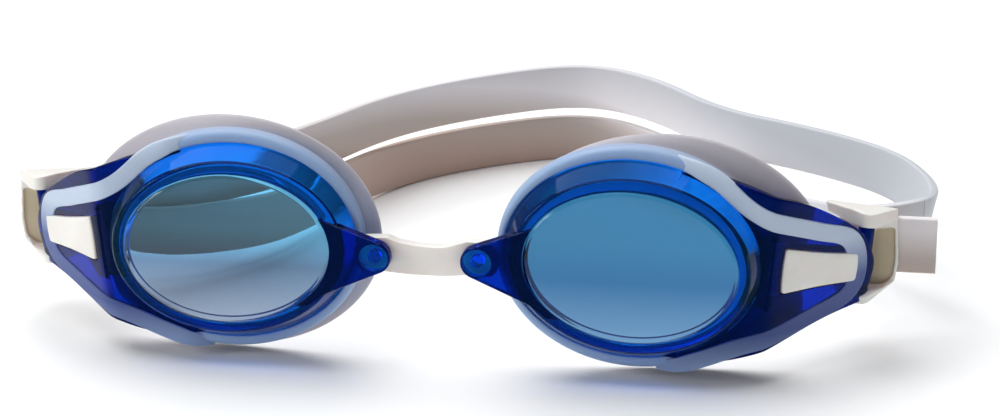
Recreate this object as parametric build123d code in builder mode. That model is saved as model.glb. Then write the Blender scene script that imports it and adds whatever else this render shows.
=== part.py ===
"""Swim goggles: two oval eye cups on a nose bridge, with side clips and a split head strap.

Millimetres, +Z up.  The goggles stand on the lower edges of the two face seals and of the strap,
facing -Y, with the strap lying open behind them.  The right-hand (+X) pieces are modelled in the
cup's own planes, and the left-hand ones are their mirror images.
"""
from build123d import *
from math import cos, radians, sin, tan
import os

# Where the front stands
FRONT_X = -3.435        # mid-plane of the two cups
FRONT_Y = -63.39        # plane of the frames' front rims
LENS_Z = 23.5           # height of the lens centres
PUPIL_X = 37.2          # lens centre from the mid-plane
DROOP = 4.5             # the outer end of each cup hangs this many degrees down

# Ovals are (half width, half height).  Heights are in front of the rim plane.
LENS = (19.5, 14.4)
LENS_FOOT = (20.6, 15.5)
LENS_FRONT = 1.6
LENS_STEP = -1.0
LENS_BACK = -2.0
LENS_BEVEL = 0.4
RIM = (21.5, 16.3)
RIM_FRONT = 1.0
FLANGE = (23.8, 19.4)
FLANGE_FRONT = -4.4
FLANGE_BACK = -6.0
HOLLOW = (21.9, 17.5)
FIT_GAP = 0.05

# Temple wing: its mid line in plan (outward, back) and its outline from the front (outward, up)
WING_T = 2.2
WING_LINE = [(6.0, 4.2), (24.4, 4.1), (42.4, 20.5)]
WING_BEND_R = 5
WING_PLACE = (26.5, 6.0)
WING_SLOPE = 42.35
WING_TOP = [(4.0, 19.0), (17.5, 16.9), (28.4, 13.3), (36.3, 8.4), (40.2, 5.1)]
WING_END = [(40.2, 5.1), (42.7, -1.2), (41.6, -8.5)]
WING_FRONT_SPACE = [(20.0, -10.0), (20.0, 5.2), (25.8, 7.0), (46.0, 25.4), (46.0, -10.0)]
WING_FOOT = [(41.6, -8.5), (33.7, -10.8), (21.1, -16.4), (4.0, -19.0)]

# Clip hinge
PIVOT = (41.2, 20.4)
PIVOT_R = 1.5
PIVOT_TOP = 7.6
PIVOT_FOOT = -10.4

# Nose lug and bridge
POST = (-27.6, -2.4)
POST_R = 1.75
POST_HEAD_R = 2.3
POST_END = -4.4
POST_HEAD_FRONT = -3.25
POST_X = 9.5
POST_Z = -0.23
LUG_R = 3.1
LUG_FRONT = 1.5
LUG_BACK = -0.5
LUG_ROOTS = [(-15.0, 6.5), (-14.0, -11.5)]
LUG_ROOT_R = 0.8
BRIDGE_FRONT = -0.8
BRIDGE_BACK = -3.0
EYELET_R = 3.9
BRIDGE_WAIST = 5.8
BRIDGE_DROP = -1.0
BRIDGE_FLARE_R = 4.0

# Face seal
SEAL_FRONT = -3.4
SEAL_COLLAR = (25.2, 21.4)
SEAL_LIP = (29.5, 23.0)
SEAL_MOUTH = (25.5, 18.6)
SEAL_CENTRE = (3.5, -0.3)
SEAL_DEPTH = 10.0
SEAL_TILT = 4.5
BAND_T = 1.0
BAND_PROUD = 0.25
BAND_W = 3.3
BAND_LINE = [(7.5, 19.7), (14.5, 16.6), (21.0, 11.9), (31.5, 7.4), (37.6, 4.6), (39.6, -1.2), (38.2, -6.4),
             (31.5, -9.6), (21.5, -13.8), (14.5, -17.3), (7.5, -20.0)]

# Release button: a trapezium that narrows towards the temple, as heights at its two ends
BUTTON_LENGTH = 17.6
BUTTON_INNER = (-3.7, 5.0)
BUTTON_OUTER = (-4.0, 1.4)
BUTTON_GAP = 0.3
BUTTON_FRONT = 1.5
BUTTON_BACK = -2.0
BUTTON_STOP = -1.15
BUTTON_FOOT = 0.9
BUTTON_EDGE_R = 0.4
BUTTON_ROOM = 1.6
BUTTON_ROOM_DEPTH = 3.0

# Side clip: its outline in plan (outward, back) and from the front (outward, up)
CLIP_PLAN = [(35.8, 22.7), (45.6, 22.7), (46.6, 23.8), (46.6, 28.4), (36.8, 28.4)]
CLIP_SIDE = [(34.0, 9.2), (45.2, 8.8), (47.0, 7.4), (47.0, -5.8), (44.8, -9.0), (42.0, -11.6),
             (34.0, -11.6)]
CLIP_WALL_BACK = 23.8
CHEEK_TOP = 7.2
CHEEK_FOOT = -5.6
EAR_R = 2.5
EAR_TOP = 6.0
EAR_FOOT = -9.2
SOCKET_TOP = 7.8
SOCKET_FOOT = -10.6
EAR_ROOTS = [(38.0, 24.6), (45.0, 24.6)]
EAR_ROOT_R = 0.8
CLIP_FRONT_SPACE = 22.7
BAR = (78.5, 27.4)
BAR_R = 1.5
BAR_TOP = 28.5
BAR_FOOT = 12.5

# Head strap: plan routes (from the mid-plane, back from the rim plane), then heights over the
# table against the distance back, for the upper and the lower edge of each strand
STRAP_T = 1.8
WRAP_R = 2.6
TAIL_ENDS = (91.6, -84.6)
UPPER_ROUTE = [(84.0, 31.2), (91.2, 37.5), (90.4, 56.0), (83.0, 75.0), (66.0, 88.5), (46.0, 98.5),
               (30.0, 120.0), (13.0, 129.0), (-8.0, 117.5), (-27.0, 100.0), (-39.5, 75.0),
               (-54.0, 49.0), (-66.0, 33.5)]
LOWER_ROUTE = [(84.0, 31.2), (87.6, 39.0), (80.0, 54.0), (64.0, 73.0), (46.0, 95.0), (32.0, 118.0),
               (14.0, 130.0), (-8.0, 119.5), (-27.0, 102.5), (-38.0, 76.0), (-53.0, 50.0),
               (-66.0, 33.5)]
UPPER_EDGES = ([(20, 26.4), (36, 26.4), (48, 24.2), (72, 22.5), (140, 22.5)],
               [(20, 21.0), (34, 21.0), (60, 15.2), (84, 12.5), (140, 12.5)])
LOWER_EDGES = ([(20, 21.0), (34, 21.0), (80, 10.2), (140, 10.2)],
               [(20, 15.6), (36, 15.6), (80, 0.0), (140, 0.0)])

CUP = Plane(
    origin=(FRONT_X + PUPIL_X, FRONT_Y, LENS_Z),
    x_dir=(cos(radians(DROOP)), 0, -sin(radians(DROOP))),
    z_dir=(0, -1, 0),
)
PLAN = Plane(origin=CUP.origin, x_dir=CUP.x_dir, z_dir=CUP.y_dir)
UP = Axis((0, 0, 0), CUP.y_dir)
WING = Plane(
    origin=PLAN.from_local_coords((*WING_PLACE, 0)),
    x_dir=CUP.x_dir.rotate(UP, WING_SLOPE),
    z_dir=CUP.z_dir.rotate(UP, WING_SLOPE),
)
WING_NORMAL = Axis(WING.origin, WING.z_dir)
MIDDLE = Plane.YZ.offset(FRONT_X)
TALL = 60


def oval_plate(oval, low, high, grow=0, mode=Mode.ADD):
    """An oval plate between two heights in front of the rim plane."""
    with BuildSketch(CUP.offset(low)) as outline:
        Ellipse(oval[0] + grow, oval[1] + grow)
    extrude(outline.sketch, amount=high - low, mode=mode)


def oval_taper(front_oval, front, back_oval, back, mode=Mode.ADD):
    """A solid that tapers from one oval to another behind it."""
    with BuildSketch(CUP.offset(front)) as front_outline:
        Ellipse(*front_oval)
    with BuildSketch(CUP.offset(back)) as back_outline:
        Ellipse(*back_oval)
    loft([front_outline.sketch.face(), back_outline.sketch.face()], mode=mode)


def wing_sheet(front, back):
    """A full-height sheet along the wing, between two distances in front of its mid line."""
    with BuildPart() as sheet:
        with BuildSketch(PLAN.offset(-TALL / 2)):
            with BuildLine(mode=Mode.PRIVATE):
                path = FilletPolyline(*WING_LINE, radius=WING_BEND_R)
            middle = (front + back) / 2
            if middle:
                path = path.offset_2d(middle, side=Side.RIGHT, closed=False)
            trace(path, line_width=front - back)
        extrude(amount=TALL)
    return sheet.part


def trapezium(grow):
    """The release button's outline in the wing plane, grown all round."""
    Polygon(
        (-grow, BUTTON_INNER[0] - grow),
        (BUTTON_LENGTH + grow, BUTTON_OUTER[0] - grow),
        (BUTTON_LENGTH + grow, BUTTON_OUTER[1] + grow),
        (-grow, BUTTON_INNER[1] + grow),
        align=None,
    )


def round_bar(plane, centre, radius, low, high, mode=Mode.ADD):
    """A cylinder that stands on a plane between two heights."""
    with BuildSketch(plane.offset(low)) as outline:
        with Locations(centre):
            Circle(radius)
    extrude(outline.sketch, amount=high - low, mode=mode)


def mirrored(right_piece):
    """The left-hand twin of a right-hand piece."""
    with BuildPart() as left_piece:
        mirror(right_piece.part, about=MIDDLE)
    return left_piece


# Soft band: an inlay in the wing's face, from the top of the seal round the button to its foot
with BuildPart() as band:
    add(wing_sheet(WING_T / 2 + BAND_PROUD, WING_T / 2 + BAND_PROUD - BAND_T))
    with BuildSketch(CUP.offset(-TALL / 2)):
        with BuildLine():
            Spline(*BAND_LINE)
        trace(line_width=BAND_W)
    extrude(amount=TALL, mode=Mode.INTERSECT)
    with BuildSketch(WING.offset(-WING_T)):
        trapezium(BUTTON_GAP)
    extrude(amount=3 * WING_T, mode=Mode.SUBTRACT)

# Frame: lens ring, flange for the seal, temple wing, nose lug with its post, and hinge bar
with BuildPart() as right_frame:
    add(wing_sheet(WING_T / 2, -WING_T / 2))
    with BuildSketch(CUP.offset(-TALL / 2)):
        with BuildLine():
            Spline(*WING_TOP)
            ThreePointArc(*WING_END)
            Spline(*WING_FOOT)
            Line(WING_FOOT[-1], WING_TOP[0])
        make_face()
    extrude(amount=TALL, mode=Mode.INTERSECT)
    oval_taper(RIM, RIM_FRONT, FLANGE, FLANGE_FRONT)
    oval_plate(FLANGE, FLANGE_BACK, FLANGE_FRONT)
    with BuildSketch(CUP.offset(LUG_BACK)):
        with Locations(POST):
            Circle(LUG_R)
        with Locations(*LUG_ROOTS):
            Circle(LUG_ROOT_R)
        make_hull()
    extrude(amount=LUG_FRONT - LUG_BACK)
    round_bar(CUP, POST, POST_R, POST_END, LUG_BACK)
    round_bar(CUP, POST, POST_HEAD_R, POST_END, POST_HEAD_FRONT)
    round_bar(PLAN, PIVOT, PIVOT_R, PIVOT_FOOT, PIVOT_TOP)
    oval_taper(LENS_FOOT, LENS_BACK, HOLLOW, FLANGE_BACK, mode=Mode.SUBTRACT)
    oval_plate(LENS, LENS_STEP, LUG_FRONT, grow=FIT_GAP, mode=Mode.SUBTRACT)
    oval_plate(LENS_FOOT, LENS_BACK, LENS_STEP, grow=FIT_GAP, mode=Mode.SUBTRACT)
    with BuildSketch(WING.offset(-WING_T)):
        trapezium(BUTTON_GAP)
    extrude(amount=2 * WING_T, mode=Mode.SUBTRACT)
    add(band.part, mode=Mode.SUBTRACT)

# Lens: an oval pane with a wider foot that seats behind the rim
with BuildPart() as right_lens:
    oval_plate(LENS, LENS_STEP, LENS_FRONT)
    chamfer(faces().sort_by(Axis.Y)[0].edges(), LENS_BEVEL)
    oval_plate(LENS_FOOT, LENS_BACK, LENS_STEP)

# Face seal: collar over the flange, flaring back to the lip that meets the face
LIP = Plane(
    origin=CUP.from_local_coords((*SEAL_CENTRE, -SEAL_DEPTH)),
    x_dir=CUP.x_dir.rotate(UP, SEAL_TILT),
    z_dir=CUP.z_dir.rotate(UP, SEAL_TILT),
)
with BuildPart() as right_seal:
    with BuildSketch(CUP.offset(SEAL_FRONT)):
        Ellipse(*SEAL_COLLAR)
    with BuildSketch(LIP):
        Ellipse(*SEAL_LIP)
    loft()
    with BuildSketch(CUP.offset(SEAL_FRONT)):
        Ellipse(*HOLLOW)
    with BuildSketch(LIP):
        Ellipse(*SEAL_MOUTH)
    loft(mode=Mode.SUBTRACT)
    with BuildSketch(PLAN.offset(-TALL / 2)):
        Polygon(*WING_FRONT_SPACE, align=None)
    extrude(amount=TALL, mode=Mode.SUBTRACT)
    add(right_frame.part, mode=Mode.SUBTRACT)
    with BuildSketch(WING.offset(-WING_T / 2)):
        trapezium(BUTTON_ROOM)
    extrude(amount=-BUTTON_ROOM_DEPTH, mode=Mode.SUBTRACT)
    add(band.part)
    split(bisect_by=Plane.XY, keep=Keep.TOP)

# Release button: it fills the wing's window and has a foot that stops behind it
with BuildPart() as right_button:
    with BuildSketch(WING.offset(BUTTON_BACK)):
        trapezium(0)
    extrude(amount=BUTTON_FRONT - BUTTON_BACK)
    fillet(edges().group_by(WING_NORMAL)[-1], BUTTON_EDGE_R)
    with BuildSketch(WING.offset(BUTTON_BACK)):
        trapezium(BUTTON_FOOT)
    extrude(amount=BUTTON_STOP - BUTTON_BACK)

# Side clip: ears on the frame's hinge bar, a front wall, two cheeks and the strap's bar
with BuildPart() as right_clip:
    with BuildSketch(PLAN.offset(-TALL / 2)):
        Polygon(*CLIP_PLAN, align=None)
    extrude(amount=TALL)
    with BuildSketch(PLAN.offset(-TALL / 2)):
        with Locations(PIVOT):
            Circle(EAR_R)
        with Locations(*EAR_ROOTS):
            Circle(EAR_ROOT_R)
        make_hull()
    extrude(amount=TALL)
    with BuildSketch(CUP.offset(-TALL / 2)):
        Polygon(*CLIP_SIDE, align=None)
    extrude(amount=TALL, mode=Mode.INTERSECT)
    with BuildSketch(CUP.offset(-CLIP_FRONT_SPACE)):
        with Locations(((CLIP_SIDE[0][0] + CLIP_SIDE[2][0]) / 2, (EAR_TOP + EAR_FOOT) / 2)):
            Rectangle(TALL, EAR_TOP - EAR_FOOT)
    extrude(amount=TALL, mode=Mode.SUBTRACT)
    with BuildSketch(CUP.offset(-CLIP_WALL_BACK)):
        with Locations((CLIP_SIDE[0][0], (CHEEK_TOP + CHEEK_FOOT) / 2)):
            Rectangle(TALL, CHEEK_TOP - CHEEK_FOOT)
    extrude(amount=-TALL, mode=Mode.SUBTRACT)
    round_bar(PLAN, PIVOT, PIVOT_R + FIT_GAP, SOCKET_FOOT, SOCKET_TOP, mode=Mode.SUBTRACT)
    round_bar(Plane.XY, (FRONT_X + BAR[0], FRONT_Y + BAR[1]), BAR_R, BAR_FOOT, BAR_TOP)

# Nose bridge: two eyelets on the frames' posts, joined by a waisted web
with BuildPart() as nose_bridge:
    eyelets = [(FRONT_X + side * POST_X, LENS_Z + POST_Z) for side in (-1, 1)]
    with BuildSketch(Plane.XZ.offset(-FRONT_Y + BRIDGE_BACK)):
        with Locations(*eyelets):
            Circle(EYELET_R)
        with Locations((FRONT_X, LENS_Z + BRIDGE_DROP)):
            Rectangle(2 * POST_X, BRIDGE_WAIST)
        fillet(vertices().filter_by(lambda v: abs(v.X - FRONT_X) < POST_X - 1), BRIDGE_FLARE_R)
        with Locations(*eyelets):
            Circle(POST_R + FIT_GAP, mode=Mode.SUBTRACT)
    extrude(amount=BRIDGE_FRONT - BRIDGE_BACK)

# Head strap: one band through each clip, split into two strands behind


def strand(route, edges):
    """One strand from tail to tail: its plan route, cut to its upper and lower edges."""
    places = [(FRONT_X + x, FRONT_Y + y) for x, y in route]
    with BuildPart() as part:
        with BuildSketch():
            with BuildLine():
                for side, tail in zip((1, -1), TAIL_ENDS):
                    bar = Vector(FRONT_X + side * BAR[0], FRONT_Y + BAR[1])
                    inner = bar - Vector(side * WRAP_R, 0)
                    front = bar - Vector(0, WRAP_R)
                    back = bar + Vector(0, WRAP_R)
                    Line((FRONT_X + tail, front.Y), front)
                    ThreePointArc(front, inner, back)
                    places = [back, *places] if side > 0 else [*places, back]
                FilletPolyline(*places, radius=bend_radii(places))
            trace(line_width=STRAP_T)
        extrude(amount=TALL)
        with BuildSketch(Plane.YZ.offset(-2 * TALL)):
            with BuildLine():
                upper, lower = edges
                Polyline(*[(FRONT_Y + y, z) for y, z in [*upper, *reversed(lower)]], close=True)
            make_face()
        extrude(amount=4 * TALL, mode=Mode.INTERSECT)
    return part.part


def bend_radii(places):
    """The largest round bend that each corner of a route has room for."""
    points = [Vector(*place) for place in places]
    radii = []
    for before, corner, after in zip(points, points[1:], points[2:]):
        incoming = corner - before
        outgoing = after - corner
        half_turn = radians(incoming.get_angle(outgoing)) / 2
        radii.append(0.45 * min(incoming.length, outgoing.length) / tan(half_turn))
    return radii


upper_strand = strand(UPPER_ROUTE, UPPER_EDGES)
lower_strand = strand(LOWER_ROUTE, LOWER_EDGES)
with BuildPart() as strap:
    add(upper_strand)
    add(lower_strand)

pieces = {
    "nose_bridge": nose_bridge,
    "head_strap": strap,
}
for name, piece in (
    ("frame", right_frame),
    ("lens", right_lens),
    ("seal", right_seal),
    ("release_button", right_button),
    ("strap_clip", right_clip),
):
    pieces["right_" + name] = piece
    pieces["left_" + name] = mirrored(piece)

os.makedirs("parts", exist_ok=True)
for name, piece in pieces.items():
    piece.part.label = name
    export_step(piece.part, f"parts/{name}.step")
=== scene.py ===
"""Swim goggles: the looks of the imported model.

Lengths are in millimetres, and turn into metres where a point or a size reaches Blender.
A point of a cup is (outward, up, back) from the lens centre at the plane of the front rim.
"""

from functools import partial
from math import atan, cos, hypot, pi, radians, sin, sqrt

import bmesh
import bpy
from mathutils import Euler, Matrix, Vector


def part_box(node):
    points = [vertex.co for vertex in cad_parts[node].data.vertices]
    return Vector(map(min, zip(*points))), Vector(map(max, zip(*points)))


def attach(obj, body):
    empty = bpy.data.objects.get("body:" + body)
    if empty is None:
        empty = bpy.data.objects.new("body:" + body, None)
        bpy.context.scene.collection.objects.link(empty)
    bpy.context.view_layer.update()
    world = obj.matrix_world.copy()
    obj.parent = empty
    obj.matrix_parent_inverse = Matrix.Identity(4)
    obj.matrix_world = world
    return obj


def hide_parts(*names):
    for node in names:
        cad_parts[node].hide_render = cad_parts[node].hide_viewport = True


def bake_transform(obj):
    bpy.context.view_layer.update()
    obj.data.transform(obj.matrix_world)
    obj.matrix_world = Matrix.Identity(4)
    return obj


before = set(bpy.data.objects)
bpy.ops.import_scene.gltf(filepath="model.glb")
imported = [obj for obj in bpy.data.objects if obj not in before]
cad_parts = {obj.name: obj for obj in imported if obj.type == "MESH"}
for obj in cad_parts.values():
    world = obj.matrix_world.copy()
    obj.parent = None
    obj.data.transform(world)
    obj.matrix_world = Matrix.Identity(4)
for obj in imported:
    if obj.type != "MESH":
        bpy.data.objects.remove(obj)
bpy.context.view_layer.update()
MM = 0.001

# ---------------------------------------------------------------- driving dimensions
DROOP = radians(4.5)          # the outer end of each cup hangs down
LENS = (19.5, 14.4)           # ovals are (half width, half height)
LENS_FOOT = (20.6, 15.5)
LENS_FRONT = -1.6             # depths are back from the rim plane
LENS_SEAT = 1.0
LENS_BACK = 2.0
RIM = (21.5, 16.3)
RIM_FRONT = -1.0
FLANGE = (23.8, 19.4)
FLANGE_FRONT = 4.4
FLANGE_BACK = 6.0
HOLLOW = (21.9, 17.5)
FIT_GAP = 0.05

WING_T = 2.2
WING_CORNER = (24.4, 4.1)     # where the temple wing bends back, in plan
WING_RISE = 0.911             # its slope behind the corner
WING_SOFT = 0.86              # how softly it bends
WING_PLACE = (26.5, 6.0)
WING_TOP = [(5.5, 17.9), (12.5, 17.6), (17.5, 16.9), (28.4, 13.3), (36.3, 8.4), (40.2, 5.1)]
WING_TIP = [(40.2, 5.1), (42.7, -1.2), (41.6, -8.5)]
WING_FOOT = [(5.5, -17.9), (14.5, -17.9), (21.1, -16.4), (33.7, -10.8), (41.6, -8.5)]

RIB_UP = (-6.8, 7.4)          # the thick wall between the lens and the release button
RIB_OUT = (21.2, 25.2)
RIB_BACK = (3.4, 8.0)

HINGE = (41.2, 20.4)          # the bar that the clip swings on, outward and back
HINGE_R = 1.5
HINGE_UP = (-7.9, 6.9)

LUG_TIP = (-27.6, -2.4)
LUG_R = 3.1
LUG_ROOTS = [(-15.0, 6.5), (-14.0, -11.5)]
LUG_FRONT = -1.5
LUG_BACK = 0.5
LUG_RIM = 0.4                 # round the lug's window
PANE_T = 0.45                 # and the pane in it
POST_R = 1.3
POST_HEAD_R = 2.2
POST_HEAD_FRONT = 3.25
POST_END = 4.4

SEAL_FRONT = 3.4
SEAL_SHIFT = 3.5              # the lip's centre lies outward of the lens's
SEAL_LEAN = 2.0               # both soft lips lean this far towards +X
SEAL_DEPTH = 10.0
SEAL_TILT = radians(4.5)
BAND_LINE = [(6.0, 19.6), (10.0, 18.7), (14.5, 16.6), (21.0, 11.9), (31.5, 7.4), (37.6, 4.6),
             (39.6, -1.2), (38.2, -6.4), (31.5, -9.6), (21.5, -13.8), (14.5, -17.3), (10.0, -19.2),
             (6.0, -20.0)]
BAND_W = 3.3
BAND_T = 1.0
BAND_PROUD = 0.25
BAND_ROOT = 0.12              # over this share of its length at each end
BAND_SINK = 1.4               # the band sinks this far
BAND_NARROWING = 0.35         # and loses this share of its width

BUTTON_LENGTH = 17.6
BUTTON_INNER = (-3.7, 5.0)
BUTTON_OUTER = (-4.0, 1.4)
BUTTON_BACK = -2.0
BUTTON_STOP = -1.15
BUTTON_FLANGE = 0.9           # its foot is this much wider than its cap
BUTTON_CORNER = 0.7
BUTTON_BOW = 0.3
BUTTON_DOME = [(1.05, 1), (1.22, 0.988), (1.33, 0.965), (1.4, 0.9), (1.46, 0.6), (1.5, 0.2)]

BAR_X = 78.5                  # the strap's bar in the clip, from the mid-plane
BAR_Y = 27.4                  # and back from the rim plane
BAR_OUT = 41.6                # the same bar outward from the lens centre
WRAP_R = 2.6
STRAP_T = 1.8

CLIP_R = 2.4                  # the clip round its hinge
CLIP_REAR = 28.3
WALL_FRONT = 22.75
WALL_REAR = 23.8
PANEL = [(42.5, -6.8), (45.6, -6.4), (47.1, -4.6), (47.2, -1.2), (46.4, 5.2), (42.5, 4.2)]
PANEL_BACK = 23.25

OVAL_STEPS = 128
SIDE_PARTS = 8                # a section's long side is split into so many
SHARP = radians(32)           # edges sharper than this stay sharp

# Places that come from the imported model
right_lens_box, left_lens_box = (
    [Vector(corner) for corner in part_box(node)] for node in ("right_lens", "left_lens"))
right_centre = (right_lens_box[0] + right_lens_box[1]) / 2
left_centre = (left_lens_box[0] + left_lens_box[1]) / 2
MID_X = (right_centre.x + left_centre.x) / 2
RIM_Y = right_lens_box[0].y - LENS_FRONT * MM
LENS_Z = right_centre.z
PUPIL = (right_centre.x - MID_X) / MM
SIDES = (("right", 1), ("left", -1))


# ---------------------------------------------------------------- points and curves
def cup_point(side, out, up, back):
    """A point of one cup in the frame's metres; side is 1 for the right cup and -1 for the left."""
    x = PUPIL + out * cos(DROOP) + up * sin(DROOP)
    z = up * cos(DROOP) - out * sin(DROOP)
    return Vector((MID_X + side * x * MM, RIM_Y + back * MM, LENS_Z + z * MM))


def in_cup(side, point):
    """A frame point as (outward, up, back) in a cup."""
    x = side * (point.x - MID_X) / MM - PUPIL
    z = (point.z - LENS_Z) / MM
    return x * cos(DROOP) - z * sin(DROOP), z * cos(DROOP) + x * sin(DROOP), (point.y - RIM_Y) / MM


def head_point(x, back, height):
    """A point by its distance from the mid-plane, back from the rim plane and over the table."""
    return Vector((MID_X + x * MM, RIM_Y + back * MM, height * MM))


def through(points, steps):
    """A smooth line through its points (Catmull-Rom), as tuples."""
    ends = [tuple(2 * a - b for a, b in zip(points[0], points[1])), *points,
            tuple(2 * a - b for a, b in zip(points[-1], points[-2]))]
    line = []
    for p, q, r, s in zip(ends, ends[1:], ends[2:], ends[3:]):
        for step in range(steps):
            t = step / steps
            line.append(tuple(
                0.5 * (2 * b + (c - a) * t + (2 * a - 5 * b + 4 * c - d) * t**2
                       + (3 * b - a - 3 * c + d) * t**3)
                for a, b, c, d in zip(p, q, r, s)))
    return [*line, tuple(points[-1])]


def along(line, share):
    """The point at a share of a line's length."""
    lengths = [hypot(*(b - a for a, b in zip(p, q))) for p, q in zip(line, line[1:])]
    left = share * sum(lengths)
    for p, q, length in zip(line, line[1:], lengths):
        if left <= length:
            return tuple(a + (b - a) * left / length for a, b in zip(p, q))
        left -= length
    return line[-1]


def rounded(corners, radius, closed=True, steps=4):
    """A polygon's corners, each eased over the radius in its first two numbers."""
    count = len(corners)
    line = []
    for i, here in enumerate(corners):
        if not closed and i in (0, count - 1):
            line.append(here)
            continue
        before, after = corners[i - 1], corners[(i + 1) % count]
        ends = []
        for other in (before, after):
            distance = hypot(other[0] - here[0], other[1] - here[1])
            share = min(radius / distance, 0.45) if distance else 0.45
            ends.append([h + (o - h) * share for h, o in zip(here, other)])
        for step in range(steps + 1):
            t = step / steps
            line.append(tuple(
                a * (1 - t) ** 2 + 2 * h * t * (1 - t) + b * t**2
                for a, h, b in zip(ends[0], here, ends[1])))
    return line


def split(outline, longest):
    """A closed outline with its longer sides split, always into the same number of parts."""
    line = []
    for p, q in zip(outline, outline[1:] + outline[:1]):
        parts = SIDE_PARTS if hypot(q[0] - p[0], q[1] - p[1]) > longest else 1
        line += [tuple(a + (b - a) * k / parts for a, b in zip(p, q)) for k in range(parts)]
    return line


def arc(centre, radius, start, end, steps):
    """Points round a circle between two angles in degrees, with both ends."""
    turns = [radians(start + (end - start) * i / steps) for i in range(steps + 1)]
    return [(centre[0] + radius * cos(turn), centre[1] + radius * sin(turn)) for turn in turns]


def circle(centre, radius, steps):
    return arc(centre, radius, 0, 360, steps)[:-1]


def wing_back(out):
    """How far back the wing's mid surface lies."""
    past = out - WING_CORNER[0]
    return WING_CORNER[1] + WING_RISE * (past + sqrt(past**2 + WING_SOFT**2)) / 2


def wing_turn(out):
    """The wing's angle in plan."""
    past = out - WING_CORNER[0]
    return atan(WING_RISE * (1 + past / sqrt(past**2 + WING_SOFT**2)) / 2)


def on_wing(side, out, up, proud):
    """A point in front of the wing's mid surface."""
    turn = wing_turn(out)
    return cup_point(side, out + proud * sin(turn), up, wing_back(out) - proud * cos(turn))


def in_wing_plane(side, along_wing, up, proud):
    """A point in the flat part of the wing, from the release button's inner edge."""
    turn = atan(WING_RISE)
    return cup_point(side, WING_PLACE[0] + along_wing * cos(turn) + proud * sin(turn), up,
                     WING_PLACE[1] + along_wing * sin(turn) - proud * cos(turn))


# ---------------------------------------------------------------- mesh work
def new_mesh(name, points, faces):
    """A piece with outward faces, shaded smooth except at its sharp edges."""
    mesh = bpy.data.meshes.new(name)
    mesh.from_pydata([tuple(p) for p in points], [], faces)
    piece = bpy.data.objects.new(name, mesh)
    bpy.context.scene.collection.objects.link(piece)
    tidy(piece)
    return piece


def tidy(piece):
    """Joins points that meet, closes small gaps and turns the faces outward."""
    closest, most_gaps = 0.002 * MM, 12
    work = bmesh.new()
    work.from_mesh(piece.data)
    bmesh.ops.remove_doubles(work, verts=work.verts, dist=closest)
    bmesh.ops.dissolve_degenerate(work, edges=work.edges, dist=closest)
    gaps = [edge for edge in work.edges if edge.is_boundary]
    if 0 < len(gaps) < most_gaps:
        bmesh.ops.holes_fill(work, edges=gaps, sides=most_gaps)
    bmesh.ops.recalc_face_normals(work, faces=work.faces)
    work.to_mesh(piece.data)
    work.free()
    piece.data.shade_smooth()
    piece.data.set_sharp_from_angle(angle=SHARP)


def skin(name, loops, ring=False):
    """A surface over a row of loops; a ring joins the last to the first, and else the ends close."""
    count = len(loops[0])
    points = [p for loop in loops for p in loop]
    rows = len(loops)
    faces = []
    for row in range(rows if ring else rows - 1):
        a, b = row * count, (row + 1) % rows * count
        faces += [(a + i, a + (i + 1) % count, b + (i + 1) % count, b + i) for i in range(count)]
    if not ring:
        for row in (0, rows - 1):
            centre = sum((Vector(p) for p in loops[row]), Vector()) / count
            points.append(centre)
            start = row * count
            faces += [(start + i, start + (i + 1) % count, len(points) - 1) for i in range(count)]
    return new_mesh(name, points, faces)


def prism(name, outline, place, levels):
    """A solid over an outline, at levels of (height, inset share of the size)."""
    cx = sum(p[0] for p in outline) / len(outline)
    cy = sum(p[1] for p in outline) / len(outline)
    loops = [[place(cx + (x - cx) * scale, cy + (y - cy) * scale, level) for x, y in outline]
             for level, scale in levels]
    return skin(name, loops)


def apply_changes(piece):
    view = bpy.context.evaluated_depsgraph_get()
    final = bpy.data.meshes.new_from_object(piece.evaluated_get(view), depsgraph=view)
    piece.modifiers.clear()
    old = piece.data
    piece.data = final
    bpy.data.meshes.remove(old)


def combine(piece, tool, operation):
    """UNION, DIFFERENCE or INTERSECT with a tool, which is used up."""
    change = piece.modifiers.new("combine", "BOOLEAN")
    change.operation = operation
    change.solver = "EXACT"
    change.object = tool
    if tool.data.materials:
        change.material_mode = "TRANSFER"
    apply_changes(piece)
    bpy.data.objects.remove(tool)
    tidy(piece)


def bevel(piece, width):
    change = piece.modifiers.new("bevel", "BEVEL")
    change.width = width * MM
    change.segments = 3
    change.limit_method = "ANGLE"
    change.angle_limit = radians(40)
    change.use_clamp_overlap = True
    apply_changes(piece)
    tidy(piece)


def oval(side, half_width, half_height, back, shift, tilt):
    """A loop of points round an oval, which may lie outward and lean back towards the temple."""
    loop = []
    for i in range(OVAL_STEPS):
        turn = 2 * pi * i / OVAL_STEPS
        out = half_width * cos(turn)
        loop.append(cup_point(side, shift + out * cos(tilt), half_height * sin(turn),
                              back + out * sin(tilt)))
    return loop


def oval_loops(side, stations, radius, closed=False):
    """Loops over stations of (half width, back, half height, shift, tilt), with eased corners."""
    return [oval(side, w, h, back, shift, tilt) for w, back, h, shift, tilt in
            rounded(stations, radius, closed=closed)]


def station(size, back, shift=0.0, tilt=0.0):
    return (size[0], back, size[1], shift, tilt)


def grown(size, by):
    return (size[0] + by, size[1] + by)


def rod(name, side, start, end, radius, edge=0.2):
    """A round bar between two cup points, with eased ends."""
    count = 40
    a, b = cup_point(side, *start), cup_point(side, *end)
    axis = (b - a).normalized()
    across = axis.orthogonal().normalized()
    other = axis.cross(across)
    length = (b - a).length / MM
    loops = []
    for distance, r in ((0, radius - edge), (edge * 0.3, radius - edge * 0.3), (edge, radius),
                        (length - edge, radius), (length - edge * 0.3, radius - edge * 0.3),
                        (length, radius - edge)):
        loops.append([a + axis * distance * MM + (across * cos(t) + other * sin(t)) * r * MM
                      for t in (2 * pi * i / count for i in range(count))])
    return skin(name, loops)


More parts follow.
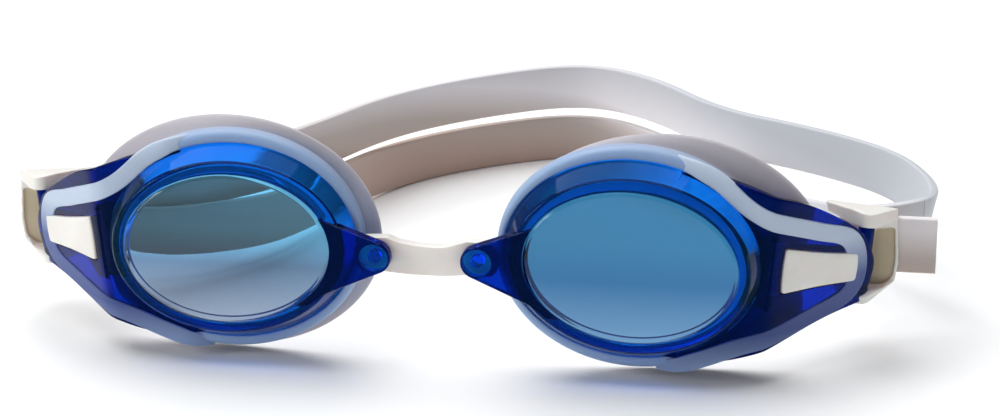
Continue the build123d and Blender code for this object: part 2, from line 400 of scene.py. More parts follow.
def hull(name, side, corners):
    """The convex solid over cup points (outward, up, back)."""
    work = bmesh.new()
    for corner in corners:
        work.verts.new(cup_point(side, *corner))
    made = bmesh.ops.convex_hull(work, input=work.verts)
    bmesh.ops.delete(work, geom=[v for v in made["geom_interior"] if isinstance(v, bmesh.types.BMVert)])
    mesh = bpy.data.meshes.new(name)
    work.to_mesh(mesh)
    work.free()
    piece = bpy.data.objects.new(name, mesh)
    bpy.context.scene.collection.objects.link(piece)
    tidy(piece)
    return piece


def ring_points(centre, radius, up):
    """Points round a level circle at a height."""
    return [(out, up, back) for out, back in circle(centre, radius, 24)]


def block_points(up, inner, outer, front, rear):
    """The corners of a rectangle that lies level at a height."""
    return [(out, up, back) for out in (inner, outer) for back in (front, rear)]


def soften(piece, voxel, rounds):
    """Remeshes a solid evenly and eases its edges."""
    remesh = piece.modifiers.new("even", "REMESH")
    remesh.mode = "VOXEL"
    remesh.voxel_size = voxel * MM
    ease = piece.modifiers.new("ease", "SMOOTH")
    ease.factor = 0.5
    ease.iterations = rounds
    apply_changes(piece)
    piece.data.shade_smooth()


# ---------------------------------------------------------------- materials
def material(name, **values):
    """A Principled material; the values are its own sockets."""
    made = bpy.data.materials.new(name)
    made.use_nodes = True
    shader = made.node_tree.nodes["Principled BSDF"]
    for socket, value in values.items():
        shader.inputs[socket.replace("_", " ")].default_value = value
    return made, made.node_tree, shader


def noise(tree, per_mm, detail=3.0, stretch=(1, 1, 1)):
    """Noise in the object's own space, with that many features to a millimetre."""
    where = tree.nodes.new("ShaderNodeTexCoord")
    scale = tree.nodes.new("ShaderNodeMapping")
    scale.inputs["Scale"].default_value = [per_mm / MM * s for s in stretch]
    grain = tree.nodes.new("ShaderNodeTexNoise")
    grain.inputs["Scale"].default_value = 1.0
    grain.inputs["Detail"].default_value = detail
    tree.links.new(where.outputs["Object"], scale.inputs["Vector"])
    tree.links.new(scale.outputs["Vector"], grain.inputs["Vector"])
    return grain


def spread(tree, axis, start, end):
    """0 to 1 between two places along an axis of the object."""
    where = tree.nodes.new("ShaderNodeTexCoord")
    axes = tree.nodes.new("ShaderNodeSeparateXYZ")
    share = tree.nodes.new("ShaderNodeMapRange")
    share.inputs["From Min"].default_value = start
    share.inputs["From Max"].default_value = end
    tree.links.new(where.outputs["Object"], axes.inputs["Vector"])
    tree.links.new(axes.outputs[axis], share.inputs["Value"])
    return share


def ramp(tree, source, stops, target):
    """Colours or greys between noise levels, linked to a socket."""
    colours = tree.nodes.new("ShaderNodeValToRGB")
    while len(colours.color_ramp.elements) < len(stops):
        colours.color_ramp.elements.new(0.5)
    for element, (place, colour) in zip(colours.color_ramp.elements, stops):
        element.position = place
        element.color = (*colour, 1) if isinstance(colour, tuple) else (colour, colour, colour, 1)
    tree.links.new(source.outputs[0], colours.inputs["Fac"])
    tree.links.new(colours.outputs["Color"], target)


def bump(tree, shader, source, height_mm):
    node = tree.nodes.new("ShaderNodeBump")
    node.inputs["Strength"].default_value = 1.0
    node.inputs["Distance"].default_value = height_mm * MM
    tree.links.new(source.outputs["Fac"], node.inputs["Height"])
    tree.links.new(node.outputs["Normal"], shader.inputs["Normal"])


def absorb(tree, colour, per_mm):
    """Colour that deepens with the path through the plastic."""
    body = tree.nodes.new("ShaderNodeVolumeAbsorption")
    body.inputs["Color"].default_value = (*colour, 1)
    body.inputs["Density"].default_value = per_mm / MM
    tree.links.new(body.outputs["Volume"], tree.nodes["Material Output"].inputs["Volume"])


def blue_plastic(name, light, deep):
    made, tree, shader = material(
        name, Transmission_Weight=0.97, IOR=1.32, Specular_Tint=(0.03, 0.22, 1.0, 1))
    flow = noise(tree, 0.25, detail=4, stretch=(1, 1, 2.2))
    ramp(tree, flow, ((0.3, deep), (0.7, light)), shader.inputs["Base Color"])
    ramp(tree, noise(tree, 0.8), ((0.35, 0.02), (0.8, 0.06)), shader.inputs["Roughness"])
    bump(tree, shader, flow, 0.02)
    absorb(tree, (0.0, 0.58, 0.93), 1.15)
    return made


def lens_tint(name, foot, middle, top):
    """A clear pane whose tint changes from its foot to its top: painted light and shade of the floor, shadows
    and strap behind it, lighter at the foot and darker in the middle.
    """
    made, tree, shader = material(name, Transmission_Weight=1.0, IOR=1.36)
    height = spread(tree, "Z", LENS_Z - LENS[1] * MM, LENS_Z + LENS[1] * MM)
    ramp(tree, height, ((0.0, foot), (0.4, middle), (0.65, top)), shader.inputs["Base Color"])
    ramp(tree, noise(tree, 1.5), ((0.4, 0.01), (0.85, 0.05)), shader.inputs["Roughness"])
    bump(tree, shader, noise(tree, 0.3), 0.004)
    return made


def silicone(name, through_share, soft):
    made, tree, shader = material(
        name, Transmission_Weight=through_share, IOR=1.41, Subsurface_Weight=soft,
        Subsurface_Scale=0.003, Subsurface_Radius=(1.0, 0.9, 0.8), Sheen_Weight=0.1, Sheen_Roughness=0.4)
    ramp(tree, noise(tree, 2.0), ((0.3, 0.38), (0.8, 0.55)), shader.inputs["Roughness"])
    bump(tree, shader, noise(tree, 3.0, detail=6), 0.012)
    return made, tree, shader


def blended(tree, first, second, share):
    """A mix of two values, as a node."""
    mix = tree.nodes.new("ShaderNodeMix")
    mix.inputs[0].default_value = share
    tree.links.new(first, mix.inputs[2])
    tree.links.new(second, mix.inputs[3])
    return mix


def strap_silicone():
    """Grey silicone with painted shade: warm, darker beige near the table, towards -X and near the clips, and
    lighter, cooler grey above.
    """
    made, tree, shader = silicone("strap_silicone", 0.0, 0.0)
    height, across, back = (spread(tree, axis, start * MM, end * MM).outputs[0] for axis, start, end in
                            (("Z", -4, 24), ("X", -60, 80), ("Y", RIM_Y / MM + 24, RIM_Y / MM + 45)))
    # Height, side and depth pick painted shade (warm beige) low down and near the clips, and painted light
    # (pale grey) higher up
    light_and_shade_share = blended(tree, blended(tree, height, across, 0.5).outputs[0], back, 0.3)
    ramp(tree, light_and_shade_share, ((0.5, (0.52, 0.37, 0.31)), (0.63, (0.54, 0.46, 0.42)),
                      (0.72, (0.86, 0.83, 0.86)), (0.88, (0.56, 0.58, 0.62))), shader.inputs["Base Color"])
    return made


def seal_silicone():
    """Pale lavender, bluer where it lies over the flange and greyer at the lip."""
    made, tree, shader = silicone("seal_silicone", 0.15, 0.5)
    depth = spread(tree, "Y", RIM_Y + SEAL_FRONT * MM, RIM_Y + SEAL_DEPTH * MM)
    ramp(tree, depth, ((0.0, (0.32, 0.47, 0.72)), (0.4, (0.38, 0.46, 0.64)),
                       (0.6, (0.50, 0.48, 0.53))), shader.inputs["Base Color"])
    return made


def band_silicone_painted_shade():
    """Pale blue above the button, and deeper and darker below it, where the blue wing shows through and
    painted shade stands for the shade on the lower leg.
    """
    made, tree, shader = silicone("band_silicone_painted_shade", 0.2, 0.3)
    ramp(tree, spread(tree, "Z", LENS_Z - 20 * MM, LENS_Z + 6 * MM),
         ((0.0, (0.30, 0.42, 0.68)), (0.25, (0.05, 0.09, 0.32)), (0.55, (0.09, 0.14, 0.40)),
          (0.85, (0.62, 0.74, 0.92))), shader.inputs["Base Color"])
    return made


def white_plastic(name, shade, light):
    made, tree, shader = material(
        name, Subsurface_Weight=0.25, Subsurface_Scale=0.002, Specular_IOR_Level=0.5)
    ramp(tree, noise(tree, 0.12), ((0.3, shade), (0.7, light)), shader.inputs["Base Color"])
    ramp(tree, noise(tree, 1.2), ((0.3, 0.28), (0.8, 0.42)), shader.inputs["Roughness"])
    bump(tree, shader, noise(tree, 1.6, detail=5), 0.01)
    return made


def floor_material():
    made, tree, shader = material("pale_floor", Roughness=0.85, Specular_IOR_Level=0.1)
    ramp(tree, noise(tree, 0.01), ((0.3, 0.93), (0.7, 0.95)), shader.inputs["Base Color"])
    return made


BLUE = blue_plastic("clear_blue_plastic", (0.08, 0.62, 0.97), (0.05, 0.52, 0.95))
# A deeper, darker blue as painted shade on the wing, lug and hinge bar, for the shade that lies behind the
# clear plastic
DEEP_BLUE_PAINTED_SHADE = blue_plastic("clear_blue_painted_shade", (0.008, 0.06, 0.48), (0.004, 0.035, 0.34))
# Near-black blue as painted shade on the thick rib, which darkens from light turned back inside it
RIB_PAINTED_SHADE_BLUE = blue_plastic("blue_rib_painted_shade", (0.006, 0.006, 0.26), (0.003, 0.003, 0.19))
WHITE = white_plastic("off_white_plastic", (0.80, 0.77, 0.72), (0.86, 0.84, 0.80))
# Beige painted shade for the clip's pressed panel, which is white plastic in shade
PANEL_PAINTED_SHADE = white_plastic("white_plastic_painted_shade", (0.50, 0.41, 0.26), (0.57, 0.48, 0.33))
SEAL = seal_silicone()
# The band's lower leg carries painted shade
BAND_PAINTED_SHADE = band_silicone_painted_shade()
# The strap's colour carries painted shade low down and near the clips
STRAP_PAINTED_SHADE = strap_silicone()
# Painted light and shade: each lens's tint carries what lies behind it, so the two lenses differ though their
# tint is one
LENS_TINTS_PAINTED_LIGHT = {
    "right": lens_tint("right_lens_painted_light_and_shade", (0.14, 0.30, 0.49), (0.025, 0.14, 0.31), (0.03, 0.17, 0.33)),
    "left": lens_tint("left_lens_painted_light_and_shade", (0.30, 0.38, 0.49), (0.11, 0.21, 0.35), (0.14, 0.50, 0.80)),
}


def finish(piece, look, slot, body, *nodes):
    """Gives a piece its material and the body it rides on, and hides the nodes it stands for. The slot is not
    used.
    """
    if look:
        piece.data.materials.append(look)
    if body:
        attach(piece, body)
    if nodes:
        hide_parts(*nodes)


# ---------------------------------------------------------------- the cups
def button_outline(grow=0.0):
    """The release button seen from its front: a trapezium with slightly bowed sides."""
    low_in, high_in = BUTTON_INNER[0] - grow, BUTTON_INNER[1] + grow
    low_out, high_out = BUTTON_OUTER[0] - grow, BUTTON_OUTER[1] + grow
    near, far = -grow, BUTTON_LENGTH + grow
    corners = [(near, low_in), (far / 2, (low_in + low_out) / 2 + BUTTON_BOW), (far, low_out),
               (far + BUTTON_BOW, (low_out + high_out) / 2), (far, high_out),
               (far / 2, (high_in + high_out) / 2 - BUTTON_BOW), (near, high_in),
               (near - BUTTON_BOW, (low_in + high_in) / 2)]
    radii = [BUTTON_CORNER, 6.0] * 4
    line = []
    for before, here, after, radius in zip(corners[-1:] + corners, corners, corners[1:] + corners[:1], radii):
        line += rounded([before, here, after], radius, closed=False, steps=6)[1:-1]
    return line


def wing_sheet(side, thickness):
    """The temple wing: a patch between its top, foot and tip lines, made solid."""
    top = through(WING_TOP, 12)
    foot = through(WING_FOOT, 12)
    tip = through([(o, u) for o, u in reversed(WING_TIP)], 12)
    across, tall = 44, 22
    rows = []
    for i in range(across + 1):
        s = i / across
        high, low = along(top, s), along(foot, s)
        row = []
        for j in range(tall + 1):
            t = j / tall
            end = along(tip, t)
            start = (WING_TOP[0][0], WING_FOOT[0][1] + (WING_TOP[0][1] - WING_FOOT[0][1]) * t)
            flat = []
            for k in range(2):
                corners = ((1 - s) * ((1 - t) * foot[0][k] + t * top[0][k])
                           + s * ((1 - t) * foot[-1][k] + t * top[-1][k]))
                flat.append((1 - t) * low[k] + t * high[k] + (1 - s) * start[k] + s * end[k] - corners)
            row.append(flat)
        rows.append(row)
    points = []
    half = thickness / 2
    for proud in (half, -half):
        points += [on_wing(side, out, up, proud) for row in rows for out, up in row]
    wide = tall + 1
    layer = wide * (across + 1)
    faces = []
    for i in range(across):
        for j in range(tall):
            a = i * wide + j
            quad = (a, a + 1, a + wide + 1, a + wide)
            faces += [quad, tuple(layer + q for q in quad)]
    rim = ([i * wide for i in range(across)] + [across * wide + j for j in range(tall)]
           + [i * wide + tall for i in range(across, 0, -1)] + [j for j in range(tall, 0, -1)])
    for a, b in zip(rim, rim[1:] + rim[:1]):
        faces.append((a, b, layer + b, layer + a))
    return new_mesh("wing", points, faces)


def lug_outline():
    """The nose lug from the front: a rounded tip on the post, widening to the ring."""
    top, low = LUG_ROOTS
    return [*arc(LUG_TIP, LUG_R, 118, 248, 24), (low[0] - 3.0, low[1] + 2.0), low, (low[0] + 4, low[1]),
            (top[0] + 5, top[1]), top, (top[0] - 3.0, top[1] - 0.95)]


def make_band(side, grow=0.0):
    """The seal's soft band, laid in the wing's face round the button."""
    line = through(BAND_LINE, 8)
    count = len(line)
    loops = []
    for i, (out, up) in enumerate(line):
        ahead, behind = line[min(i + 1, count - 1)], line[max(i - 1, 0)]
        step = Vector((ahead[0] - behind[0], ahead[1] - behind[1])).normalized()
        side_out, side_up = -step.y, step.x
        share = i / (count - 1)
        root = max(0.0, 1 - min(share, 1 - share) / BAND_ROOT)
        half = BAND_W / 2 * (1 - BAND_NARROWING * root) + grow
        high = WING_T / 2 + BAND_PROUD - BAND_SINK * root**2
        low = high - BAND_T - grow
        eased = rounded([(-half, low), (half, low), (half, high), (-half, high)], 0.32, steps=3)
        loops.append([on_wing(side, out + side_out * w, up + side_up * w, h) for w, h in split(eased, 0.5)])
    return skin("band", loops)


def make_rib(side, grow):
    """The thick wall between the lens and the release button."""
    (foot, top), (inner, outer), (front, rear) = RIB_UP, RIB_OUT, RIB_BACK
    return hull("rib", side, [corner for up in (foot - grow, top + grow) for corner in
                              block_points(up, inner, outer + grow, front, rear + grow)])


def make_lug(side):
    """The nose lug, with a round window over the post, and the thin pane in the window."""
    lug = prism("lug", lug_outline(), partial(cup_point, side),
                [(LUG_BACK, 1), (LUG_FRONT + 0.45, 1), (LUG_FRONT + 0.15, 0.985), (LUG_FRONT, 0.955)])
    window = rod("window", side, (*LUG_TIP, LUG_FRONT - 1), (*LUG_TIP, LUG_BACK + 1), LUG_R - LUG_RIM)
    pane_front = LUG_FRONT + FIT_GAP
    pane = rod("pane", side, (*LUG_TIP, pane_front), (*LUG_TIP, pane_front + PANE_T), LUG_R - 0.25, edge=0.1)
    # The lug takes the deeper blue with painted shade
    lug.data.materials.append(DEEP_BLUE_PAINTED_SHADE)
    pane.data.materials.append(BLUE)
    combine(lug, window, "DIFFERENCE")
    return lug, pane


def make_frame(name, side):
    """Ring, flange, wing, lug, post and hinge bar as one clear moulding."""
    outer = [station(grown(RIM, -1.9), RIM_FRONT), station(RIM, RIM_FRONT), station(FLANGE, FLANGE_FRONT),
             station(FLANGE, FLANGE_BACK), station(grown(FLANGE, -2), FLANGE_BACK)]
    body = skin(name, oval_loops(side, outer, 0.55))
    wing = wing_sheet(side, WING_T)
    bevel(wing, 0.5)
    rib = make_rib(side, 0)
    post = rod("post", side, (*LUG_TIP, LUG_FRONT + 1), (*LUG_TIP, POST_END), POST_R)
    head = rod("post_head", side, (*LUG_TIP, POST_HEAD_FRONT), (*LUG_TIP, POST_END), POST_HEAD_R)
    hinge = rod("hinge_bar", side, *((HINGE[0], up, HINGE[1]) for up in HINGE_UP), HINGE_R)
    # Painted shade: the wing, lug and hinge bar take a deeper blue, and the rib a near-black blue
    for look, part in ((BLUE, body), (DEEP_BLUE_PAINTED_SHADE, wing), (RIB_PAINTED_SHADE_BLUE, rib), (DEEP_BLUE_PAINTED_SHADE, hinge)):
        part.data.materials.append(look)
    for part in (wing, *make_lug(side), post, head, rib, hinge):
        combine(body, part, "UNION")

    past_front, past_back = RIM_FRONT - 2, FLANGE_BACK + 3
    pane_edge, foot_edge = grown(LENS, FIT_GAP), grown(LENS_FOOT, FIT_GAP)
    hole = [station((1, 1), past_front), station(pane_edge, past_front), station(pane_edge, LENS_SEAT),
            station(foot_edge, LENS_SEAT), station(foot_edge, LENS_BACK), station(HOLLOW, FLANGE_BACK),
            station(HOLLOW, past_back), station((1, 1), past_back)]
    combine(body, skin("hole", oval_loops(side, hole, 0.12)), "DIFFERENCE")
    slot = prism("slot", button_outline(grow=0.3), partial(in_wing_plane, side), [(-WING_T, 1), (WING_T, 1)])
    combine(body, slot, "DIFFERENCE")
    combine(body, make_band(side, grow=0.03), "DIFFERENCE")
    return body


def make_lens(name, side):
    """A tinted pane with a bevelled edge in front and a thicker foot behind the rim."""
    middle, half_way = (2, 1.5), (12, 8.8)
    stations = [station(middle, LENS_FRONT), station(half_way, LENS_FRONT + 0.06),
                station(grown(LENS, -0.55), LENS_FRONT + 0.2), station(LENS, LENS_FRONT + 0.7),
                station(LENS, LENS_SEAT), station(LENS_FOOT, LENS_SEAT + 0.03),
                station(LENS_FOOT, LENS_BACK), station(grown(LENS, -0.4), LENS_BACK),
                station(grown(LENS, -0.8), 0.9), station(half_way, 0.74), station(middle, 0.7)]
    return skin(name, oval_loops(side, stations, 0.2))


def make_seal(name, side):
    """The silicone cup: a collar round the flange that flares back to a rolled lip, with its band."""
    taper = (FLANGE[0] - RIM[0]) / (FLANGE_FRONT - RIM_FRONT)
    rise = (FLANGE[1] - RIM[1]) / (FLANGE_FRONT - RIM_FRONT)
    reach = SEAL_FRONT - RIM_FRONT
    hug = (RIM[0] + taper * reach + FIT_GAP, RIM[1] + rise * reach + FIT_GAP)
    shift = SEAL_SHIFT + side * SEAL_LEAN
    section = [
        station(hug, SEAL_FRONT), station((24.4, 20.5), SEAL_FRONT),
        station((25.1, 21.2), 4.2, 0.2, 0), station((25.4, 21.4), 6.2, 0.3, 0),
        station((24.9, 20.8), 6.7, 0.5, SEAL_TILT / 4),
        station((26.9, 21.8), 7.7, 0.5 * shift, SEAL_TILT / 2),
        station((29.4, 22.8), 9.0, 0.95 * shift, SEAL_TILT),
        station((29.1, 22.6), SEAL_DEPTH, shift, SEAL_TILT),
        station((26.3, 19.6), SEAL_DEPTH - 0.3, shift, SEAL_TILT),
        station((25.0, 18.3), 8.8, 0.86 * shift, SEAL_TILT),
        station((22.6, 17.9), 7.4, 0.3, 0),
        station((22.2, 17.8), FLANGE_BACK + FIT_GAP),
        station(grown(FLANGE, FIT_GAP), FLANGE_BACK + FIT_GAP),
        station(grown(FLANGE, FIT_GAP), FLANGE_FRONT),
    ]
    seal = skin(name, oval_loops(side, section, 0.75, closed=True), ring=True)
    wing_space = [(20, -10), (20, 5.35), (25.6, 7.2), (46, 25.6), (46, -10)]
    tall = 40
    tool = prism("wing_space", wing_space, lambda out, back, up: cup_point(side, out, up, back),
                 [(-tall, 1), (tall, 1)])
    combine(seal, tool, "DIFFERENCE")
    combine(seal, wing_sheet(side, WING_T + 0.1), "DIFFERENCE")
    combine(seal, make_rib(side, FIT_GAP), "DIFFERENCE")
    band = make_band(side)
    for look, part in ((SEAL, seal), (BAND_PAINTED_SHADE, band)):
        part.data.materials.append(look)
    combine(seal, band, "UNION")
    return seal


def make_button(name, side):
    """The white release button: a domed trapezium with a wider foot behind the wing."""
    place = partial(in_wing_plane, side)
    cap = prism(name, button_outline(), place, [(BUTTON_STOP - 0.3, 1), *BUTTON_DOME])
    foot = prism("foot", button_outline(BUTTON_FLANGE), place,
                 [(BUTTON_BACK, 0.985), (BUTTON_BACK + 0.15, 1), (BUTTON_STOP, 1)])
    combine(cap, foot, "UNION")
    return cap


def make_clip(name, side):
    """The strap clip: a wall with a pressed panel, between two ends that hold the hinge and the bar."""
    clip = hull(name, side, [
        *ring_points(HINGE, CLIP_R, 6.0), *ring_points(HINGE, CLIP_R - 0.3, 8.6),
        *block_points(6.9, 33.8, 46.7, 22.6, CLIP_REAR), (33.2, 8.7, 22.8), (46.4, 8.8, 22.8),
        (33.4, 7.2, 28.0), (46.6, 6.9, CLIP_REAR), (38.0, 8.8, 20.0)])
    foot = hull("foot", side, [
        *ring_points(HINGE, CLIP_R, -7.6), *ring_points(HINGE, CLIP_R - 0.4, -9.2),
        *block_points(-5.4, 35.9, 47.6, 22.8, CLIP_REAR), *block_points(-7.8, 35.9, 44.4, 22.8, CLIP_REAR),
        *block_points(-9.0, 36.4, 41.6, 23.6, 27.4)])
    wall = hull("wall", side, [
        corner for up, outer in ((-7.8, 44.4), (-5.3, 47.6), (-1.6, 47.8), (7.6, 46.5))
        for corner in block_points(up, 36.0, outer, WALL_FRONT, WALL_REAR)])
    bar = rod("bar", side, (BAR_OUT, -7.0, BAR_Y), (BAR_OUT, 6.9, BAR_Y), 1.5)
    for part in (foot, wall, bar):
        combine(clip, part, "UNION")
    tool = prism("panel", rounded(PANEL, 0.9), partial(cup_point, side), [(20, 1), (PANEL_BACK, 1)])
    combine(clip, tool, "DIFFERENCE")
    socket = rod("socket", side, (HINGE[0], HINGE_UP[0] - 0.1, HINGE[1]),
                 (HINGE[0], HINGE_UP[1] + 0.1, HINGE[1]), HINGE_R + FIT_GAP)
    combine(clip, socket, "DIFFERENCE")
    soften(clip, 0.17, 5)
    paint_panel_shade(clip, side)
    return clip


def paint_panel_shade(clip, side):
    """White, and beige painted shade on the faces in the pressed panel, where the white recess lies in shade.
    """
    outs, ups = zip(*PANEL)
    margin = 0.2
    clip.data.materials.append(WHITE)
    clip.data.materials.append(PANEL_PAINTED_SHADE)
    for face in clip.data.polygons:
        out, up, back = in_cup(side, face.center)
        if (min(outs) - margin < out < max(outs) + margin and min(ups) - margin < up < max(ups) + margin
                and PANEL_BACK - 0.3 < back < PANEL_BACK + 0.25):
            face.material_index = 1


for word, side in SIDES:
    cup = f"{word}_cup"
    finish(make_frame(f"{word}_frame_shell", side), None, "blue_plastic", cup, f"{word}_frame")
    finish(make_lens(f"{word}_lens_pane", side), LENS_TINTS_PAINTED_LIGHT[word], "lens_tint", cup, f"{word}_lens")
    finish(make_seal(f"{word}_face_seal", side), None, "seal_silicone", cup, f"{word}_seal")
    finish(make_button(f"{word}_button_cap", side), WHITE, "white_plastic", f"{word}_button",
           f"{word}_release_button")
    finish(make_clip(f"{word}_clip_body", side), None, "white_plastic", f"{word}_clip", f"{word}_strap_clip")


# ---------------------------------------------------------------- nose bridge
def make_bridge():
    """A waisted strip with an eyelet at each end, hooked over the frames' posts."""
    post_x = PUPIL + LUG_TIP[0] * cos(DROOP) + LUG_TIP[1] * sin(DROOP)
    post_z = LENS_Z / MM + LUG_TIP[1] * cos(DROOP) - LUG_TIP[0] * sin(DROOP)
    eyelet = 3.9
    top = [(-post_x + 2.2, post_z + 3.3), (-5.2, post_z + 2.5), (-1, post_z + 1.9), (3, post_z + 1.9),
           (post_x - 2.2, post_z + 3.2)]
    low = [(post_x - 2.2, post_z - 3.2), (3, post_z - 3.6), (-3, post_z - 3.6),
           (-post_x + 2.2, post_z - 3.3)]
    outline = [*through(top, 8), *arc((post_x, post_z), eyelet, 56, -56, 24)[1:-1],
               *through(low, 8), *arc((-post_x, post_z), eyelet, 236, 124, 24)[1:-1]]

    def place(x, z, back):
        return head_point(x, back, z)

    bridge = prism("bridge_strip", outline, place, [(0.8, 1), (3.0, 1)])
    for end in (-post_x, post_x):
        eye = prism("eye", circle((end, post_z), POST_R + FIT_GAP, 48), place, [(0, 1), (4, 1)])
        combine(bridge, eye, "DIFFERENCE")
    bevel(bridge, 0.4)
    return bridge


finish(make_bridge(), WHITE, "white_plastic", "bridge_and_strap", "nose_bridge")


# ---------------------------------------------------------------- head strap
STILL_Y = 90.0                # and behind this it stays still
TAIL_X = {1: 91.6, -1: 84.6}
BAND_TOP, BAND_SPLIT, BAND_FOOT = 26.4, 21.0, 15.6
NEAR_RUN = {1: [(84.0, 31.2), (88.6, 35.2)], -1: [(75.5, 30.2), (72.5, 31.4)]}
# A strand's stations: from the mid-plane, back, top edge, foot edge, and how far the foot leans in
UPPER = [(88.6, 35.2, 26.4, 21.0, 0), (91.6, 38.0, 26.3, 20.4, 1), (90.6, 56.0, 24.0, 15.8, 3),
         (83.5, 75.0, 22.7, 13.4, 2), (66.0, 88.5, 22.5, 12.5, 0), (46.0, 98.5, 22.5, 12.5, 0),
         (30.0, 120.0, 22.5, 12.5, 0), (13.0, 129.0, 22.5, 12.5, 0), (-8.0, 117.5, 22.5, 12.5, 0),
         (-27.0, 100.0, 22.5, 12.5, 0), (-39.5, 75.0, 22.5, 12.0, 0), (-53.0, 49.4, 24.2, 13.6, 0),
         (-63.0, 39.8, 25.8, 15.2, 0), (-69.0, 34.6, 26.4, 18.6, 0), (-72.5, 31.4, 26.4, 21.0, 0)]
LOWER = [(88.6, 35.2, 21.0, 15.6, 0), (90.4, 37.0, 20.6, 15.2, 0), (84.0, 52.0, 17.2, 10.0, 0),
         (64.0, 73.0, 11.8, 3.0, 0), (46.0, 95.0, 10.2, 0.0, 0), (32.0, 118.0, 10.2, 0.0, 0),
         (14.0, 130.0, 10.2, 0.0, 0), (-8.0, 119.5, 10.2, 0.0, 0), (-27.0, 102.5, 10.2, 0.0, 0),
         (-35.5, 76.0, 12.6, 2.0, 0), (-42.0, 57.6, 14.2, 3.0, 0), (-51.5, 46.4, 15.0, 4.4, 0),
         (-62.0, 37.6, 16.8, 6.6, 0), (-69.6, 32.9, 19.4, 9.5, 0), (-72.5, 31.4, 21.0, 15.6, 0)]


def b_spline(points, steps):
    """A smooth line that starts and ends on the first and last points (quadratic B-spline)."""
    mids = [tuple((a + b) / 2 for a, b in zip(p, q)) for p, q in zip(points, points[1:])]
    line = [points[0]]
    for start, corner, end in zip([points[0], *mids[1:-1]], points[1:-1], [*mids[1:-1], points[-1]]):
        for step in range(1, steps + 1):
            t = step / steps
            line.append(tuple(a * (1 - t) ** 2 + 2 * c * t * (1 - t) + b * t**2
                              for a, c, b in zip(start, corner, end)))
    return line


def strap_section(height):
    """The strap's rounded section as (across, up from the middle)."""
    half_t, half_h = STRAP_T / 2, height / 2
    eased = rounded([(-half_t, -half_h), (half_t, -half_h), (half_t, half_h), (-half_t, half_h)], 0.55)
    return split(eased, 1.0)


def strap_piece(name, lines):
    """Strands along lines of (x, back, top, foot, lean)."""
    points, faces = [], []
    for line in lines:
        first = len(points)
        for i, (x, back, top, foot, lean) in enumerate(line):
            ahead, behind = line[min(i + 1, len(line) - 1)], line[max(i - 1, 0)]
            run = Vector((ahead[0] - behind[0], ahead[1] - behind[1], 0)).normalized()
            across = Vector((-run.y, run.x, 0))
            tall = Vector((0, 0, top - foot)) - across * lean
            height = tall.length
            tall.normalize()
            thick = run.cross(tall).normalized()
            middle = Vector((x, back, (top + foot) / 2)) + across * lean / 2
            section = strap_section(height)
            points += [head_point(*(middle + thick * a + tall * b)) for a, b in section]
        count = len(section)
        for row in range(len(line) - 1):
            a, b = first + row * count, first + (row + 1) * count
            faces += [(a + i, a + (i + 1) % count, b + (i + 1) % count, b + i) for i in range(count)]
        for row in (0, len(line) - 1):
            faces.append(tuple(first + row * count + i for i in range(count)))
    return new_mesh(name, points, faces)


def make_strap():
    """Ends through the clips, two side runs that split into strands, and the back of the loop."""
    strands = [b_spline(stations, 10) for stations in (UPPER, LOWER)]
    rear, runs = [], {1: [], -1: []}
    for line in strands:
        still = {1: next(i for i, p in enumerate(line) if p[1] > STILL_Y),
                 -1: next(i for i in range(len(line) - 1, 0, -1) if line[i][1] > STILL_Y)}
        runs[1].append(line[:still[1] + 1])
        rear.append(line[still[1]:still[-1] + 1])
        runs[-1].append(line[still[-1]:])
    finish(strap_piece("strap_back", rear), STRAP_PAINTED_SHADE, "strap_silicone", "bridge_and_strap", "head_strap")
    for word, side in SIDES:
        run = strap_piece(f"{word}_strap_run", runs[side])
        finish(run, STRAP_PAINTED_SHADE, "strap_silicone", None, "head_strap")
        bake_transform(run)
        path = [(TAIL_X[side] + (BAR_X - TAIL_X[side]) * k / 6, BAR_Y - WRAP_R) for k in range(7)]
        path += [(BAR_X - WRAP_R * sin(pi * k / 16), BAR_Y - WRAP_R * cos(pi * k / 16)) for k in range(1, 16)]
        start = (BAR_X, BAR_Y + WRAP_R)
        path += b_spline([start, *NEAR_RUN[side]], 12)
        end = strap_piece(f"{word}_strap_end",
                          [[(side * x, back, BAND_TOP, BAND_FOOT, 0) for x, back in path]])
        finish(end, STRAP_PAINTED_SHADE, "strap_silicone", None, "head_strap")
        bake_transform(end)


make_strap()


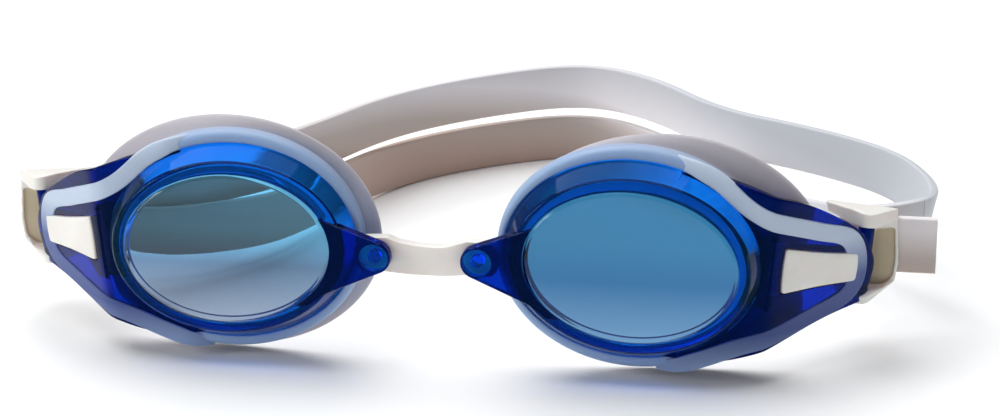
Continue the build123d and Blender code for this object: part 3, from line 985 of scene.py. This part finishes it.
# ---------------------------------------------------------------- floor, light and camera
def area_light(name, place, target, size, power):
    data = bpy.data.lights.new(name, "AREA")
    data.shape = "RECTANGLE"
    data.size, data.size_y = size
    data.energy = power
    lamp = bpy.data.objects.new(name, data)
    bpy.context.scene.collection.objects.link(lamp)
    lamp.location = place
    lamp.rotation_euler = (Vector(target) - Vector(place)).to_track_quat("-Z", "Y").to_euler()


def sun_light(name, direction, spread_angle, strength):
    """A broad, even light from far off in a direction."""
    data = bpy.data.lights.new(name, "SUN")
    data.angle = spread_angle
    data.energy = strength
    lamp = bpy.data.objects.new(name, data)
    bpy.context.scene.collection.objects.link(lamp)
    lamp.rotation_euler = Vector(direction).to_track_quat("Z", "Y").to_euler()


def make_stage():
    floor = new_mesh("floor", [(-3, -3, 0), (3, -3, 0), (3, 3, 0), (-3, 3, 0)], [(0, 1, 2, 3)])
    floor.data.materials.append(floor_material())
    middle = (0, 0, 0.03)
    sun_light("broad_key", (-0.18, 0.28, 1.0), radians(70), 3.3)
    area_light("left_softbox", (-0.9, -0.45, 0.4), middle, (0.4, 0.4), 3.9)
    world = bpy.data.worlds.new("studio")
    world.use_nodes = True
    world.node_tree.nodes["Background"].inputs["Color"].default_value = (0.92, 0.96, 1, 1)
    world.node_tree.nodes["Background"].inputs["Strength"].default_value = 0.16
    bpy.context.scene.world = world
    bpy.context.scene.view_settings.view_transform = "Standard"


def make_camera():
    """The camera's place from the midpoint between the lenses, and the angles it looks along."""
    azimuth, elevation, roll = radians(9.0), radians(20.0), radians(-0.48)
    data = bpy.data.cameras.new("camera")
    data.lens = 89.4
    data.sensor_width = 36
    camera = bpy.data.objects.new("camera", data)
    bpy.context.scene.collection.objects.link(camera)
    place = Vector((MID_X, RIM_Y, LENS_Z)) + Vector((78.99, -412.58, 162.17)) * MM
    level = Euler((pi / 2 - elevation, 0, azimuth)).to_matrix()
    turn = level @ Matrix.Rotation(roll, 3, "Z")
    camera.matrix_world = Matrix.Translation(place) @ turn.to_4x4()
    bpy.context.scene.camera = camera


make_stage()
make_camera()
